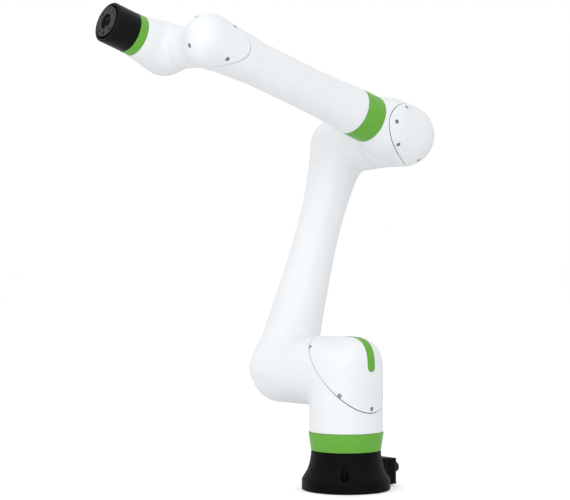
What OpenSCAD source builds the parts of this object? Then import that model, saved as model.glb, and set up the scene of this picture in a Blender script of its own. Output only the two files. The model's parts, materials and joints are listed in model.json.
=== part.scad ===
// Six-axis collaborative robot arm.
// Frame: origin at the middle of the base's underside on the first axis,
// +Z up, +X towards the tool, +Y away from the upper arm.
// The arm is drawn in one posture: upper arm leaning back, forearm rising.

/* [Posture] */
// Lean of the upper arm behind the vertical, degrees
lean = 18.4; // [10:0.2:25]
// Rise of the forearm above the horizontal, degrees
rise = 15.6; // [8:0.2:22]

/* [Link lengths] */
// Height of the shoulder axis above the base's underside
h_shoulder = 245; // [243:1:255]
// Length of the upper arm, shoulder axis to elbow axis
l_upper = 540; // [480:5:700]
// Length of the forearm, elbow axis to wrist axis
l_fore = 540; // [480:5:700]
// Sideways offset of the tool axis from the forearm axis
wrist_off = 150; // [148:1:160]
// Distance from the wrist axis to the tool flange face
flange_out = 160; // [160:1:164]

/* [Base] */
// Radius of the base foot
foot_r = 93.5; // [92:0.5:98]
// Radius of the base neck under the first ring
neck_r = 74; // [73.5:0.5:76]
// Height of the base casting
base_h = 81.7; // [81.7:0.1:81.7]
// Radius of the curve that flares the neck into the foot
flare_r = 93; // [90:1:96]
// Pitch circle of the four mounting bolts
bolt_pcd = 165; // [162:1:168]
// Clearance hole for the M8 mounting bolts
bolt_d = 9; // [8.4:0.1:9]
// Counterbore for the bolt heads
bolt_cb = 15; // [14:0.5:16]

/* [Housings] */
// Radius of the shoulder column
sh_r = 79.5; // [78:0.5:80]
// Distance from the column axis to the shoulder joint face
sh_face = 90; // [88:1:92]
// Radius of the elbow housing's domed end
el_r = 67.3; // [66:0.1:68]
// Distance from the forearm axis to the elbow joint face
el_face = 69.2; // [68.5:0.1:70]
// Distance from the elbow axis to the forearm joint face
roll_face = 157.5; // [157:0.1:158]
// Radius of the forearm tube at the ring
fore_r1 = 49.6; // [49:0.1:50]
// Radius of the forearm tube at the wrist end
fore_r2 = 41.6; // [41:0.1:43]
// Radius of the forearm's domed end
fo_r = 56.1; // [55:0.1:57]
// Distance from the forearm axis to the wrist joint face
wr_face = 63.4; // [63:0.1:64]
// Radius of the wrist housing's domed end
wr_r = 53.1; // [52:0.1:54]
// Wall of the light-alloy housings
wall = 5; // [4.5:0.5:5.5]
// Running gap between two housings at a joint
gap = 0.8; // [0.6:0.1:1]

/* [Upper arm] */
// Distance from the column axis to the middle of the arm tube
arm_mid = 200; // [199:1:201]
// Radius of the arm tube at the shoulder
arm_r1 = 57; // [55:0.5:57.5]
// Radius of the arm tube at the elbow
arm_r2 = 46.7; // [45:0.1:47]
// Radius of the shoulder boss
boss2_r = 73.6; // [72:0.1:75]
// Outer face of the shoulder boss
boss2_y = 258; // [258:0.5:260]
// Radius of the elbow boss
boss3_r = 63.1; // [62:0.1:64]
// Outer face of the elbow boss
boss3_y = 248; // [248:0.5:250]

/* [Tool end] */
// Radius of the black tool sleeve
sleeve_r = 40.1; // [39.5:0.1:41]
// Radius of the tool flange
flange_r = 31.5; // [31.5:0.1:31.5]
// Centring bore of the tool flange
flange_bore = 31.5; // [31.5:0.1:31.5]
// Pitch circle of the tool screws
tool_pcd = 50; // [50:1:50]
// Core hole of the M6 tool screws
tool_hole = 5; // [5:0.1:5.2]

/* [Hidden] */
$fn = 64;

WHITE = "whitesmoke"; GREEN = "limegreen"; BLACK = "#202022"; STEEL = "silver"; COPPER = "peru";

ring1_top = 121.3;             // top of the waist ring
ring4_in = 108.1;              // elbow side of the forearm ring
ring6_in = 86.5;               // wrist side of the tool ring
ring6_out = 108.7;             // tool side of the tool ring
sh_dome = sh_r + 0.8;          // dome over the shoulder
sh_boss = sh_r - 2;            // shoulder boss
sh_cut = -1.4;                 // cover plane, from the axes' crossing
el_tilt = 17; el_cut = 25.5;   // elbow cover plane
fo_cut = 2;                    // forearm cover plane
wr_cut = 2;                    // wrist cover plane
u1 = [58, 46, 34, 14, 11];     // drive size: gear r, stator r, stator bore r, shaft r, hollow r
u3 = [50, 42, 31, 13, 10];
u4 = [41, 38, 27, 11, 8];
u5 = [34, 31, 22, 9.5, 7];
u6 = [32, 30, 21, 9, 6.5];

// ---------- frames ----------
module at_shoulder() translate([0, 0, h_shoulder]) children();
module at_arm() translate([0, 0, h_shoulder]) rotate([0, -lean, 0]) children();
module at_fore() translate([-l_upper * sin(lean), 0, h_shoulder + l_upper * cos(lean)])
  rotate([0, -rise, 0]) children();
module at_wrist() at_fore() translate([l_fore, -wrist_off, 0]) children();
module to_y() rotate([90, 0, 0]) children();   // local Z becomes -Y
module to_x() rotate([0, 90, 0]) children();   // local Z becomes +X
// planes of the four corner covers, local Z outwards
module sh_plane() at_shoulder() rotate([-45, 0, 0]) translate([0, 0, sh_cut]) children();
module el_plane() at_fore() rotate([0, 0, el_tilt]) translate([0, el_cut, 0]) rotate([-90, 0, 0]) children();
module fo_plane() at_fore() translate([l_fore, 0, 0]) rotate([0, 0, -45]) translate([0, fo_cut, 0]) rotate([-90, 0, 0]) children();
module wr_plane() at_wrist() rotate([0, 0, 135]) translate([0, wr_cut, 0]) rotate([-90, 0, 0]) children();
module half_up() translate([-200, -200, 0]) cube([400, 400, 200]);

// ---------- drive unit pieces; local Z leaves the housing, joint face at z = 0 ----------
module drive_ring(u) color(STEEL) rotate_extrude()
  polygon([[u[0] - 12, -1], [u[0], -1], [u[0], -30], [u[0] - 14, -30], [u[0] - 14, -12.5], [u[0] - 12, -12.5]]);
module drive_hub(u, top = 6) color("lightsteelblue") rotate_extrude()
  polygon([[u[4], -10], [u[4], top], [u[0] - 12.05, top], [u[0] - 12.05, -12], [u[0] - 15, -12],
           [u[0] - 15, -29], [u[0] - 16.5, -29], [u[0] - 16.5, -10]]);
module drive_motor(u) color("dimgray") rotate_extrude()
  polygon([[u[2], -30], [u[0] - 0.2, -30], [u[0] - 0.2, -36], [u[1], -36], [u[1], -74],
           [u[3] + 0.4, -74], [u[3] + 0.4, -70], [u[2], -70]]);
module drive_rotor(u) color(COPPER) rotate_extrude()
  polygon([[u[4], -78], [u[3] + 7, -78], [u[3] + 7, -75], [u[3], -75], [u[3], -66], [u[2] - 0.8, -66],
           [u[2] - 0.8, -40], [u[3], -40], [u[3], -27], [u[0] - 17, -27], [u[0] - 17, -15], [u[4], -15]]);
module d1() translate([0, 0, base_h + gap]) mirror([0, 0, 1]) children();
module d2() at_shoulder() to_y() translate([0, 0, sh_face]) children();
module d3() at_fore() to_y() translate([0, 0, el_face]) children();
module d4() at_fore() to_x() translate([0, 0, roll_face]) children();
module d5() at_fore() translate([l_fore, 0, 0]) to_y() translate([0, 0, wr_face]) children();
module d6() at_wrist() to_x() translate([0, 0, flange_out - 14]) children();

// socket-head screw standing on z = 0, shank below
module cap_screw(r = 2, l = 12) {
  difference() {
    cylinder(r = 1.75 * r, h = 1.8 * r);
    translate([0, 0, 0.8 * r]) cylinder(r = 0.85 * r, h = 2 * r, $fn = 6);
  }
  translate([0, 0, -l]) cylinder(r = r, h = l + 0.2);
}
module spots(list) for (p = list) translate([p[0], p[1], 0]) children();
// screw lugs tied to the wall by a rib, standing on z = 0
module lugs(list, h) for (p = list) translate([p[0], p[1], 0]) {
  cylinder(r = 6, h = h);
  rotate([0, 0, atan2(p[1], p[0])]) translate([0, -3.5, 0]) cube([36, 7, h]);
}
// room that a drive takes inside its housing
module drive_space(u) {
  translate([0, 0, -38]) cylinder(r = u[0] + 0.05, h = 40);
  translate([0, 0, -80]) cylinder(r = u[1] + 1.5, h = 46);
}

// ---------- base ----------
module base_casting() color(BLACK) difference() {
  union() {
    rotate_extrude($fn = 96) difference() {
      polygon([[0, 0], [foot_r - 1.5, 0], [foot_r, 1.5], [foot_r, 22], [foot_r, base_h], [0, base_h]]);
      translate([neck_r + flare_r, base_h - 1.7]) circle(r = flare_r, $fn = 96);
      translate([neck_r, base_h - 1.7]) square([40, 3]);
    }
    translate([-90, -36, 0]) cube([40, 72, 62]);
  }
  translate([0, 0, -1]) cylinder(r = 62, h = 25);
  translate([0, 0, 20]) cylinder(r = 66, h = 46.5);
  translate([0, 0, 60]) cylinder(r = 16, h = 30);
  d1() translate([0, 0, gap - 1]) cylinder(r = u1[0] - 11.5, h = 6 - gap + 1);
  translate([-95, 0, 32]) to_x() cylinder(r = 18, h = 40);
  for (a = [45:90:315]) rotate([0, 0, a]) translate([bolt_pcd / 2, 0, 0]) {
    translate([0, 0, -1]) cylinder(r = bolt_d / 2, h = 40);
    translate([0, 0, 24]) cylinder(r = bolt_cb / 2, h = 70);
  }
  for (a = [0:60:300]) rotate([0, 0, a]) translate([28, 0, 60]) cylinder(r = 2.7, h = 20);
}
module connector_box() color(BLACK) difference() {
  translate([-116, 0, 31]) to_x() linear_extrude(26) difference() {
    square([58, 64], center = true);
    for (a = [-1, 1], b = [-1, 1]) translate([a * 29, b * 32]) difference() {
      square(12, center = true);
      translate([-a * 6, -b * 6]) circle(r = 6, $fn = 48);
    }
  }
  translate([-117, -28, 6]) cube([23, 56, 50]);
  translate([-100, 0, 32]) to_x() cylinder(r = 17, h = 20);
  translate([0, 0, -1]) cylinder(r = foot_r + 0.05, h = 24, $fn = 96);
  translate([0, 0, 23]) cylinder(r1 = foot_r + 0.05, r2 = foot_r - 3.9, h = 6.5, $fn = 96);
}
module connector_plate() color("#2a2a2d") difference() {
  translate([-119, -31, 3]) cube([3, 62, 56]);
  translate([-125, 15.8, 38]) to_x() cylinder(r = 12.2, h = 12);
  translate([-125, -25, 31]) cube([12, 26.2, 14.2]);
  for (y = [-19, -5]) translate([-125, y, 15]) to_x() cylinder(r = 5.2, h = 12);
  for (y = [-27.5, 27.5], z = [6.5, 55.5]) translate([-125, y, z]) to_x() cylinder(r = 1.6, h = 12);
}
module plate_screws() color(STEEL) for (y = [-27.5, 27.5], z = [6.5, 55.5])
  translate([-119, y, z]) rotate([0, -90, 0]) { cylinder(r = 2.6, h = 1.8); translate([0, 0, -2.8]) cylinder(r = 1.5, h = 3); }
module power_connector() color("#35353a") translate([-119, 15.8, 38]) rotate([0, -90, 0]) {
  difference() {
    union() { cylinder(r = 14.5, h = 2.5); cylinder(r = 11, h = 13); translate([0, 0, -8]) cylinder(r = 12, h = 8.2); }
    translate([0, 0, 7]) cylinder(r = 8.8, h = 12);
    translate([0, 0, 3]) cylinder(r = 8.3, h = 5);
  }
  for (a = [0:60:300]) rotate([0, 0, a]) translate([5.2, 0, 2.8]) cylinder(r = 1.1, h = 3.7, $fn = 24);
}
module signal_connector() color("#35353a") difference() {
  union() { translate([-126, -24.8, 31.2]) cube([7, 25.8, 13.8]); translate([-119.2, -24.9, 31.1]) cube([10, 26, 14]); }
  translate([-130, -22, 33.6]) cube([9, 20.2, 9]);
}
module air_fittings() color("goldenrod") for (y = [-19, -5]) translate([-119, y, 15]) rotate([0, -90, 0]) difference() {
  union() { cylinder(r = 6.4, h = 5, $fn = 6); translate([0, 0, 4]) cylinder(r = 4.6, h = 7); translate([0, 0, -7]) cylinder(r = 5, h = 7.2); }
  translate([0, 0, -8]) cylinder(r = 2.6, h = 20);
}
module base_harness() color("#303038") {
  translate([-92, 0, 32]) to_x() cylinder(r = 7, h = 85);
  translate([-7, 0, 32]) rotate([90, 0, 0]) rotate_extrude(angle = 90) translate([7.2, 0]) circle(r = 7);
}
module j1_output_hub() d1() drive_hub(u1);

// ---------- shoulder, turns on the base ----------
module j1_trim_ring() color(GREEN) rotate_extrude($fn = 96)
  polygon([[69.1, base_h + gap], [neck_r - 0.2, base_h + gap], [sh_r + 0.1, ring1_top], [69.1, ring1_top]]);
module sh_outer() {
  rotate_extrude($fn = 96) {
    square([69, 140]);
    translate([0, ring1_top]) square([sh_r, h_shoulder - ring1_top]);
    translate([0, h_shoulder]) intersection() { circle(r = sh_dome, $fn = 96); translate([0, -100]) square([100, 200]); }
  }
  at_shoulder() to_y() cylinder(r = sh_boss, h = sh_face, $fn = 96);
}
module sh_cavity() {
  rotate_extrude($fn = 96) {
    translate([0, 126]) square([sh_r - wall, h_shoulder - 126]);
    translate([0, h_shoulder]) intersection() { circle(r = sh_dome - wall, $fn = 96); translate([0, -100]) square([100, 200]); }
  }
  at_shoulder() to_y() cylinder(r = sh_boss - 6.5, h = sh_face - 38, $fn = 96);
}
sh_spots = [[54, -76], [-54, -76], [60, 60], [-60, 60], [0, 101]];
module shoulder_housing() color(WHITE) difference() {
  sh_outer();
  translate([0, 0, -1]) cylinder(r = 100, h = base_h + gap + 1);
  difference() { sh_cavity(); sh_plane() translate([0, 0, -12]) lugs(sh_spots, 12); }
  sh_plane() half_up();
  d1() drive_space(u1); d2() drive_space(u1);
  sh_plane() spots(sh_spots) translate([0, 0, -10]) cylinder(r = 2.1, h = 11);
}
module stripe_zone(x) intersection() {
  difference() { sphere(r = sh_dome + 0.4, $fn = 96); sphere(r = sh_dome - 1.6, $fn = 96); }
  union() {
    translate([-11 - x, 15, 15]) cube([22 + 2 * x, 80, 80]);
    translate([0, 15, 15]) cylinder(r = 11 + x, h = 80);
    translate([0, 15, 15]) rotate([-90, 0, 0]) cylinder(r = 11 + x, h = 80);
  }
}
module shoulder_cover() color(WHITE) difference() {
  intersection() { sh_outer(); sh_plane() half_up(); }
  difference() { sh_cavity(); sh_plane() lugs(sh_spots, 5); }
  d1() drive_space(u1); d2() drive_space(u1);
  sh_plane() spots(sh_spots) { translate([0, 0, 4]) cylinder(r = 4, h = 60); translate([0, 0, -1]) cylinder(r = 2.1, h = 8); }
  at_shoulder() stripe_zone(0.1);
}
module shoulder_cover_screws() color(STEEL) sh_plane() spots(sh_spots) translate([0, 0, 4]) cap_screw();
module accent_stripe() color(GREEN) at_shoulder() intersection() {
  stripe_zone(0);
  sphere(r = sh_dome + 0.2, $fn = 96);
}
module j1_ring_gear() d1() drive_ring(u1);
module j1_motor() d1() drive_motor(u1);
module j1_rotor() d1() drive_rotor(u1);
module j2_ring_gear() d2() drive_ring(u1);
module j2_motor() d2() drive_motor(u1);
module j2_rotor() d2() drive_rotor(u1);

// ---------- upper arm ----------
// boss with a rounded outer edge, standing on z = 0
module boss(r, l, c) rotate_extrude($fn = 96) {
  square([r - c, l]);
  square([r, l - c]);
  intersection() { translate([r - c, l - c]) circle(r = c, $fn = 96); translate([0, 0]) square([r + 1, l + 1]); }
}
module upper_arm_outer() {
  to_y() translate([0, 0, sh_face + gap]) boss(boss2_r, boss2_y - sh_face - gap, 46);
  translate([0, 0, l_upper]) to_y() translate([0, 0, el_face + gap]) boss(boss3_r, boss3_y - el_face - gap, 30);
  translate([0, -arm_mid, 0]) cylinder(r1 = arm_r1, r2 = arm_r2, h = l_upper, $fn = 96);
}
cap2 = 240; cap3 = 230;   // planes that the two round caps sit on
module upper_arm() color(WHITE) at_arm() difference() {
  upper_arm_outer();
  to_y() translate([0, 0, sh_face + 16]) boss(boss2_r - 8, cap2 - 8 - sh_face - 16, 28);
  translate([0, 0, l_upper]) to_y() translate([0, 0, el_face + 16]) boss(boss3_r - 8, cap3 - 8 - el_face - 16, 20);
  translate([0, -arm_mid, 0]) cylinder(r1 = arm_r1 - 6, r2 = arm_r2 - 6, h = l_upper, $fn = 96);
  to_y() translate([0, 0, cap2 - 9]) cylinder(r = 36, h = 20);
  to_y() translate([0, 0, cap2]) cylinder(r = 50, h = 40);
  translate([0, 0, l_upper]) to_y() translate([0, 0, cap3 - 9]) cylinder(r = 32, h = 20);
  translate([0, 0, l_upper]) to_y() translate([0, 0, cap3]) cylinder(r = 44, h = 40);
  to_y() translate([0, 0, sh_face]) { cylinder(r = u1[0] - 11.5, h = 6); cylinder(r = 16, h = 20); }
  translate([0, 0, l_upper]) to_y() translate([0, 0, el_face]) { cylinder(r = u3[0] - 11.5, h = 6); cylinder(r = 15, h = 20); }
  for (a = [45:90:315]) {
    to_y() rotate([0, 0, a]) translate([43, 0, cap2 - 7]) cylinder(r = 2.1, h = 10);
    translate([0, 0, l_upper]) to_y() rotate([0, 0, a]) translate([38, 0, cap3 - 7]) cylinder(r = 2.1, h = 10);
  }
}
module lower_arm_cap() color(WHITE) at_arm() difference() {
  intersection() { upper_arm_outer(); to_y() translate([0, 0, cap2]) cylinder(r = 49.7, h = 40); }
  to_y() translate([0, 0, cap2 - 1]) cylinder(r = 35, h = 11);
  for (a = [45:90:315]) to_y() rotate([0, 0, a]) translate([43, 0, cap2 - 1]) { cylinder(r = 2.1, h = 40); translate([0, 0, 5]) cylinder(r = 4, h = 40); }
}
module upper_arm_cap() color(WHITE) at_arm() translate([0, 0, l_upper]) difference() {
  intersection() { translate([0, 0, -l_upper]) upper_arm_outer(); to_y() translate([0, 0, cap3]) cylinder(r = 43.7, h = 40); }
  to_y() translate([0, 0, cap3 - 1]) cylinder(r = 31, h = 11);
  for (a = [45:90:315]) to_y() rotate([0, 0, a]) translate([38, 0, cap3 - 1]) { cylinder(r = 2.1, h = 40); translate([0, 0, 5]) cylinder(r = 4, h = 40); }
}
module arm_cap_screws() color(STEEL) at_arm() for (a = [45:90:315]) {
  to_y() rotate([0, 0, a]) translate([43, 0, cap2 + 4]) cap_screw(l = 10);
  translate([0, 0, l_upper]) to_y() rotate([0, 0, a]) translate([38, 0, cap3 + 4]) cap_screw(l = 10);
}
module arm_harness() color("#303038") at_arm() {
  translate([0, -188, 0]) cylinder(r = 8, h = l_upper);
  for (z = [0, l_upper]) translate([0, -188, z]) sphere(r = 9.5);
  translate([0, -188, 0]) rotate([-90, 0, 0]) cylinder(r = 8, h = 88);
  translate([0, -188, l_upper]) rotate([-90, 0, 0]) cylinder(r = 8, h = 114);
}
module j2_output_hub() d2() drive_hub(u1);
module j3_output_hub() d3() drive_hub(u3);

// ---------- elbow ----------
module el_outer() at_fore() {
  to_x() rotate_extrude($fn = 96) {
    polygon([[0, 0], [el_r - 2.8, 0], [el_r - 2.8, 60], [51.3, ring4_in], [46, ring4_in], [46, roll_face], [0, roll_face]]);
    intersection() { circle(r = el_r, $fn = 96); translate([0, -100]) square([100, 200]); }
  }
  to_y() cylinder(r = el_r - 1.3, h = el_face, $fn = 96);
}
module el_cavity() at_fore() {
  to_x() rotate_extrude($fn = 96) {
    polygon([[0, 0], [el_r - 2.8 - wall, 0], [el_r - 2.8 - wall, 58], [45.5, 103], [38, 103], [38, 130], [0, 130]]);
    intersection() { circle(r = el_r - wall, $fn = 96); translate([0, -100]) square([100, 200]); }
  }
  to_y() cylinder(r = el_r - 6.8, h = 28, $fn = 96);
}
el_spots = [[61, 39], [61, -39], [-10, 51], [-10, -51], [-54, 0], [88, 0]];
module elbow_housing() color(WHITE) difference() {
  el_outer();
  difference() { el_cavity(); el_plane() translate([0, 0, -12]) lugs(el_spots, 12); }
  el_plane() half_up();
  d3() drive_space(u3); d4() drive_space(u4);
  el_plane() spots(el_spots) translate([0, 0, -10]) cylinder(r = 2.1, h = 11);
}
module elbow_cover() color(WHITE) difference() {
  intersection() { el_outer(); el_plane() half_up(); }
  difference() { el_cavity(); el_plane() lugs(el_spots, 5); }
  d3() drive_space(u3); d4() drive_space(u4);
  el_plane() spots(el_spots) { translate([0, 0, 4]) cylinder(r = 4, h = 60); translate([0, 0, -1]) cylinder(r = 2.1, h = 8); }
}
module elbow_cover_screws() color(STEEL) el_plane() spots(el_spots) translate([0, 0, 4]) cap_screw();
module j4_trim_ring() color(GREEN) at_fore() to_x() rotate_extrude($fn = 96)
  polygon([[46.1, ring4_in], [51.3, ring4_in], [51.3, roll_face], [46.1, roll_face]]);
module j3_ring_gear() d3() drive_ring(u3);
module j3_motor() d3() drive_motor(u3);
module j3_rotor() d3() drive_rotor(u3);
module j4_ring_gear() d4() drive_ring(u4);
module j4_motor() d4() drive_motor(u4);
module j4_rotor() d4() drive_rotor(u4);

// ---------- forearm ----------
module fo_outer() at_fore() {
  translate([roll_face + gap, 0, 0]) to_x() cylinder(r1 = fore_r1, r2 = fore_r2, h = l_fore - roll_face - gap, $fn = 96);
  translate([l_fore, 0, 0]) to_y() rotate_extrude($fn = 96) {
    polygon([[0, 0], [fo_r - 1.5, 0], [fo_r - 1.5, 4], [41.3, wr_face], [0, wr_face]]);
    intersection() { circle(r = fo_r, $fn = 96); translate([0, -100]) square([100, 200]); }
  }
}
module fo_cavity() at_fore() {
  translate([roll_face + 20, 0, 0]) to_x() cylinder(r1 = fore_r1 - wall, r2 = fore_r2 - wall, h = l_fore - roll_face - 20, $fn = 96);
  translate([l_fore, 0, 0]) to_y() rotate_extrude($fn = 96) {
    polygon([[0, 0], [fo_r - 6.5, 0], [fo_r - 6.5, 2], [41, 33], [0, 33]]);
    intersection() { circle(r = fo_r - wall, $fn = 96); translate([0, -100]) square([100, 200]); }
  }
}
fo_spots = [[45, 24], [45, -24], [-38, 28], [-38, -28]];
module forearm() color(WHITE) difference() {
  fo_outer();
  difference() { fo_cavity(); fo_plane() translate([0, 0, -12]) lugs(fo_spots, 12); }
  d4() { cylinder(r = u4[0] - 11.5, h = 6); cylinder(r = 12, h = 30); }
  fo_plane() half_up();
  d5() drive_space(u5);
  fo_plane() spots(fo_spots) translate([0, 0, -10]) cylinder(r = 2.1, h = 11);
}
module forearm_cover() color(WHITE) difference() {
  intersection() { fo_outer(); fo_plane() half_up(); }
  difference() { fo_cavity(); fo_plane() lugs(fo_spots, 5); }
  d5() drive_space(u5);
  fo_plane() spots(fo_spots) { translate([0, 0, 4]) cylinder(r = 4, h = 60); translate([0, 0, -1]) cylinder(r = 2.1, h = 8); }
}
module forearm_cover_screws() color(STEEL) fo_plane() spots(fo_spots) translate([0, 0, 4]) cap_screw();
module forearm_harness() color("#303038") at_fore() translate([roll_face + 24, 0, 0]) to_x() cylinder(r = 8, h = l_fore - roll_face - 24 - 60);
module j4_output_hub() d4() drive_hub(u4);
module j5_ring_gear() d5() drive_ring(u5);
module j5_motor() d5() drive_motor(u5);
module j5_rotor() d5() drive_rotor(u5);

// ---------- wrist ----------
wr_len = wrist_off - wr_face - gap;   // from the wrist axes' crossing to the joint face
module wr_outer() at_wrist() {
  rotate([-90, 0, 0]) rotate_extrude($fn = 96) {
    polygon([[0, 0], [wr_r - 1.5, 0], [wr_r - 1.5, 12], [41.3, wr_len], [0, wr_len]]);
    intersection() { circle(r = wr_r, $fn = 96); translate([0, -100]) square([100, 200]); }
  }
  to_x() rotate_extrude($fn = 96)
    polygon([[0, 0], [wr_r - 1.8, 0], [wr_r - 1.8, 14], [41.3, ring6_in], [34.8, ring6_in], [34.8, 140], [0, 140]]);
}
module wr_cavity() at_wrist() {
  rotate([-90, 0, 0]) rotate_extrude($fn = 96) {
    polygon([[0, 0], [wr_r - 6.5, 0], [wr_r - 6.5, 10], [38, wr_len - 16], [0, wr_len - 16]]);
    intersection() { circle(r = wr_r - wall, $fn = 96); translate([0, -100]) square([100, 200]); }
  }
  to_x() rotate_extrude($fn = 96)
    polygon([[0, 0], [wr_r - 6.8, 0], [wr_r - 6.8, 12], [37, 80], [30, 80], [30, 110], [0, 110]]);
}
wr_spots = [[42, 21], [42, -21], [-42, 21], [-42, -21]];
module wrist_housing() color(WHITE) difference() {
  wr_outer();
  difference() { wr_cavity(); wr_plane() translate([0, 0, -12]) lugs(wr_spots, 12); }
  d5() { cylinder(r = u5[0] - 11.5, h = 6); cylinder(r = 11, h = 30); }
  wr_plane() half_up();
  d6() drive_space(u6);
  wr_plane() spots(wr_spots) translate([0, 0, -10]) cylinder(r = 2.1, h = 11);
  at_wrist() for (a = [0:120:240]) rotate([a + 90, 0, 0]) translate([ring6_out + 16, 0, 30]) cylinder(r = 1.6, h = 8);
}
module wrist_cover() color(WHITE) difference() {
  intersection() { wr_outer(); wr_plane() half_up(); }
  difference() { wr_cavity(); wr_plane() lugs(wr_spots, 5); }
  wr_plane() spots(wr_spots) { translate([0, 0, 4]) cylinder(r = 4, h = 60); translate([0, 0, -1]) cylinder(r = 2.1, h = 8); }
}
module wrist_cover_screws() color(STEEL) wr_plane() spots(wr_spots) translate([0, 0, 4]) cap_screw();
module j6_trim_ring() color(GREEN) at_wrist() to_x() rotate_extrude($fn = 96)
  polygon([[34.9, ring6_in], [41.3, ring6_in], [41.3, ring6_out], [34.9, ring6_out]]);
module tool_sleeve() color(BLACK) at_wrist() difference() {
  to_x() rotate_extrude($fn = 96) {
    x = flange_out - 3;
    polygon([[34.95, ring6_out], [sleeve_r, ring6_out], [sleeve_r, x - 3.5], [sleeve_r - 0.8, x - 1.2], [sleeve_r - 2.8, x], [34.95, x]]);
  }
  for (a = [0:120:240]) rotate([a + 90, 0, 0]) translate([ring6_out + 16, 0, 30]) { cylinder(r = 1.7, h = 20); translate([0, 0, 7.6]) cylinder(r = 3.2, h = 20); }
}
module sleeve_screws() color(STEEL) at_wrist() for (a = [0:120:240]) rotate([a + 90, 0, 0])
  translate([ring6_out + 16, 0, 37.7]) { cylinder(r = 2.8, h = 1.6); translate([0, 0, -4.6]) cylinder(r = 1.5, h = 5); }
module j5_output_hub() d5() drive_hub(u5);
module j6_ring_gear() d6() drive_ring(u6);
module j6_motor() d6() drive_motor(u6);
module j6_rotor() d6() drive_rotor(u6);

// ---------- tool flange ----------
module tool_flange() color("#2c2c30") d6() difference() {
  translate([0, 0, 1]) cylinder(r = flange_r, h = 13, $fn = 96);
  translate([0, 0, 0]) cylinder(r = u6[0] - 11.9, h = 3.6);
  translate([0, 0, 8]) cylinder(r = flange_bore / 2, h = 10);
  translate([0, 0, 0]) cylinder(r = 7, h = 20);
  for (a = [45:90:315]) rotate([0, 0, a]) translate([tool_pcd / 2, 0, 4]) cylinder(r = tool_hole / 2, h = 12);
  translate([tool_pcd / 2, 0, 6]) cylinder(r = 3, h = 12);
  for (a = [0:90:270]) rotate([0, 0, a + 45]) translate([11.5, 0, 2]) {
    cylinder(r = 1.6, h = 12);
    translate([0, 0, 3.2]) cylinder(r = 3, h = 12);
  }
}
module flange_screws() color(STEEL) d6() for (a = [0:90:270]) rotate([0, 0, a + 45]) translate([11.5, 0, 5.3]) {
  difference() { cylinder(r = 2.7, h = 2.4); translate([0, 0, 1]) cylinder(r = 1.25, h = 2, $fn = 6); }
  translate([0, 0, -1.5]) cylinder(r = 1.5, h = 1.6);
}
module j6_output_hub() d6() drive_hub(u6, 3.6);

base_casting();
connector_box();
connector_plate();
plate_screws();
power_connector();
signal_connector();
air_fittings();
base_harness();
j1_output_hub();
j1_trim_ring();
shoulder_housing();
shoulder_cover();
shoulder_cover_screws();
accent_stripe();
j1_ring_gear();
j1_motor();
j1_rotor();
j2_ring_gear();
j2_motor();
j2_rotor();
upper_arm();
lower_arm_cap();
upper_arm_cap();
arm_cap_screws();
arm_harness();
j2_output_hub();
j3_output_hub();
elbow_housing();
elbow_cover();
elbow_cover_screws();
j4_trim_ring();
j3_ring_gear();
j3_motor();
j3_rotor();
j4_ring_gear();
j4_motor();
j4_rotor();
forearm();
forearm_cover();
forearm_cover_screws();
forearm_harness();
j4_output_hub();
j5_ring_gear();
j5_motor();
j5_rotor();
wrist_housing();
wrist_cover();
wrist_cover_screws();
j6_trim_ring();
tool_sleeve();
sleeve_screws();
j5_output_hub();
j6_ring_gear();
j6_motor();
j6_rotor();
tool_flange();
flange_screws();
j6_output_hub();
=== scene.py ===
import bpy
import json
import math
import numpy as np
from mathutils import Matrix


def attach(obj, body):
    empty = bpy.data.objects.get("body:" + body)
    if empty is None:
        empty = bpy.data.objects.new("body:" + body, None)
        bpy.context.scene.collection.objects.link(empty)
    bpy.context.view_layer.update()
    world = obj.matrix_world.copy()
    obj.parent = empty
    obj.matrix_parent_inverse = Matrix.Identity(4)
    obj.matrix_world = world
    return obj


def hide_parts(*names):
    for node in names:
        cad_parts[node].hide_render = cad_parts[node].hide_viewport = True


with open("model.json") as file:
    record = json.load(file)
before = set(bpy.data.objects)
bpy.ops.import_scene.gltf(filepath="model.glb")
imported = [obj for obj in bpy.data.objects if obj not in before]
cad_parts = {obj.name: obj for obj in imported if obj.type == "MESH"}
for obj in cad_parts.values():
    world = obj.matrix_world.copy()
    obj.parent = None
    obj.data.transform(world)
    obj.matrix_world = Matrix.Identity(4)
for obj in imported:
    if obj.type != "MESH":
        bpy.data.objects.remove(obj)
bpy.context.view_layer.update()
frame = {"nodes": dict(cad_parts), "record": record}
SCENE = bpy.context.scene
SCENE.view_settings.view_transform = "Standard"

# ---------------------------------------------------------------- frames (mm)
LEAN, RISE = math.radians(18.4), math.radians(15.6)
J2 = np.array([0.0, 0.0, 245.0])
UA = np.array([-math.sin(LEAN), 0, math.cos(LEAN)])
UN = np.array([math.cos(LEAN), 0, math.sin(LEAN)])
FA = np.array([math.cos(RISE), 0, math.sin(RISE)])
FN = np.array([-math.sin(RISE), 0, math.cos(RISE)])
YY = np.array([0.0, 1.0, 0.0])
J3 = J2 + 540 * UA
J5 = J3 + 540 * FA
W6 = J5 - 150 * YY
WORLD = (np.zeros(3), np.eye(3))
ARM = (J2, np.array([UN, YY, UA]))
FORE = (J3, np.array([FA, YY, FN]))
WRIST = (W6, np.array([FA, YY, FN]))
X, Y, Z = np.eye(3)
R2 = math.sqrt(0.5)


def unit(v):
    v = np.asarray(v, float)
    return v / np.linalg.norm(v)


# ---------------------------------------------------------------- distance fields
def smin(a, b, k):
    h = np.maximum(k - np.abs(a - b), 0) / k
    return np.minimum(a, b) - h * h * k / 4


def smax(a, b, k):
    return -smin(-a, -b, k)


def qs(P, o, a):
    v = P - np.asarray(o, float)
    s = v @ a
    q = np.sqrt(np.maximum((v * v).sum(1) - s * s, 0))
    return q, s


def ball(P, o, r):
    return np.linalg.norm(P - np.asarray(o, float), axis=1) - r


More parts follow.
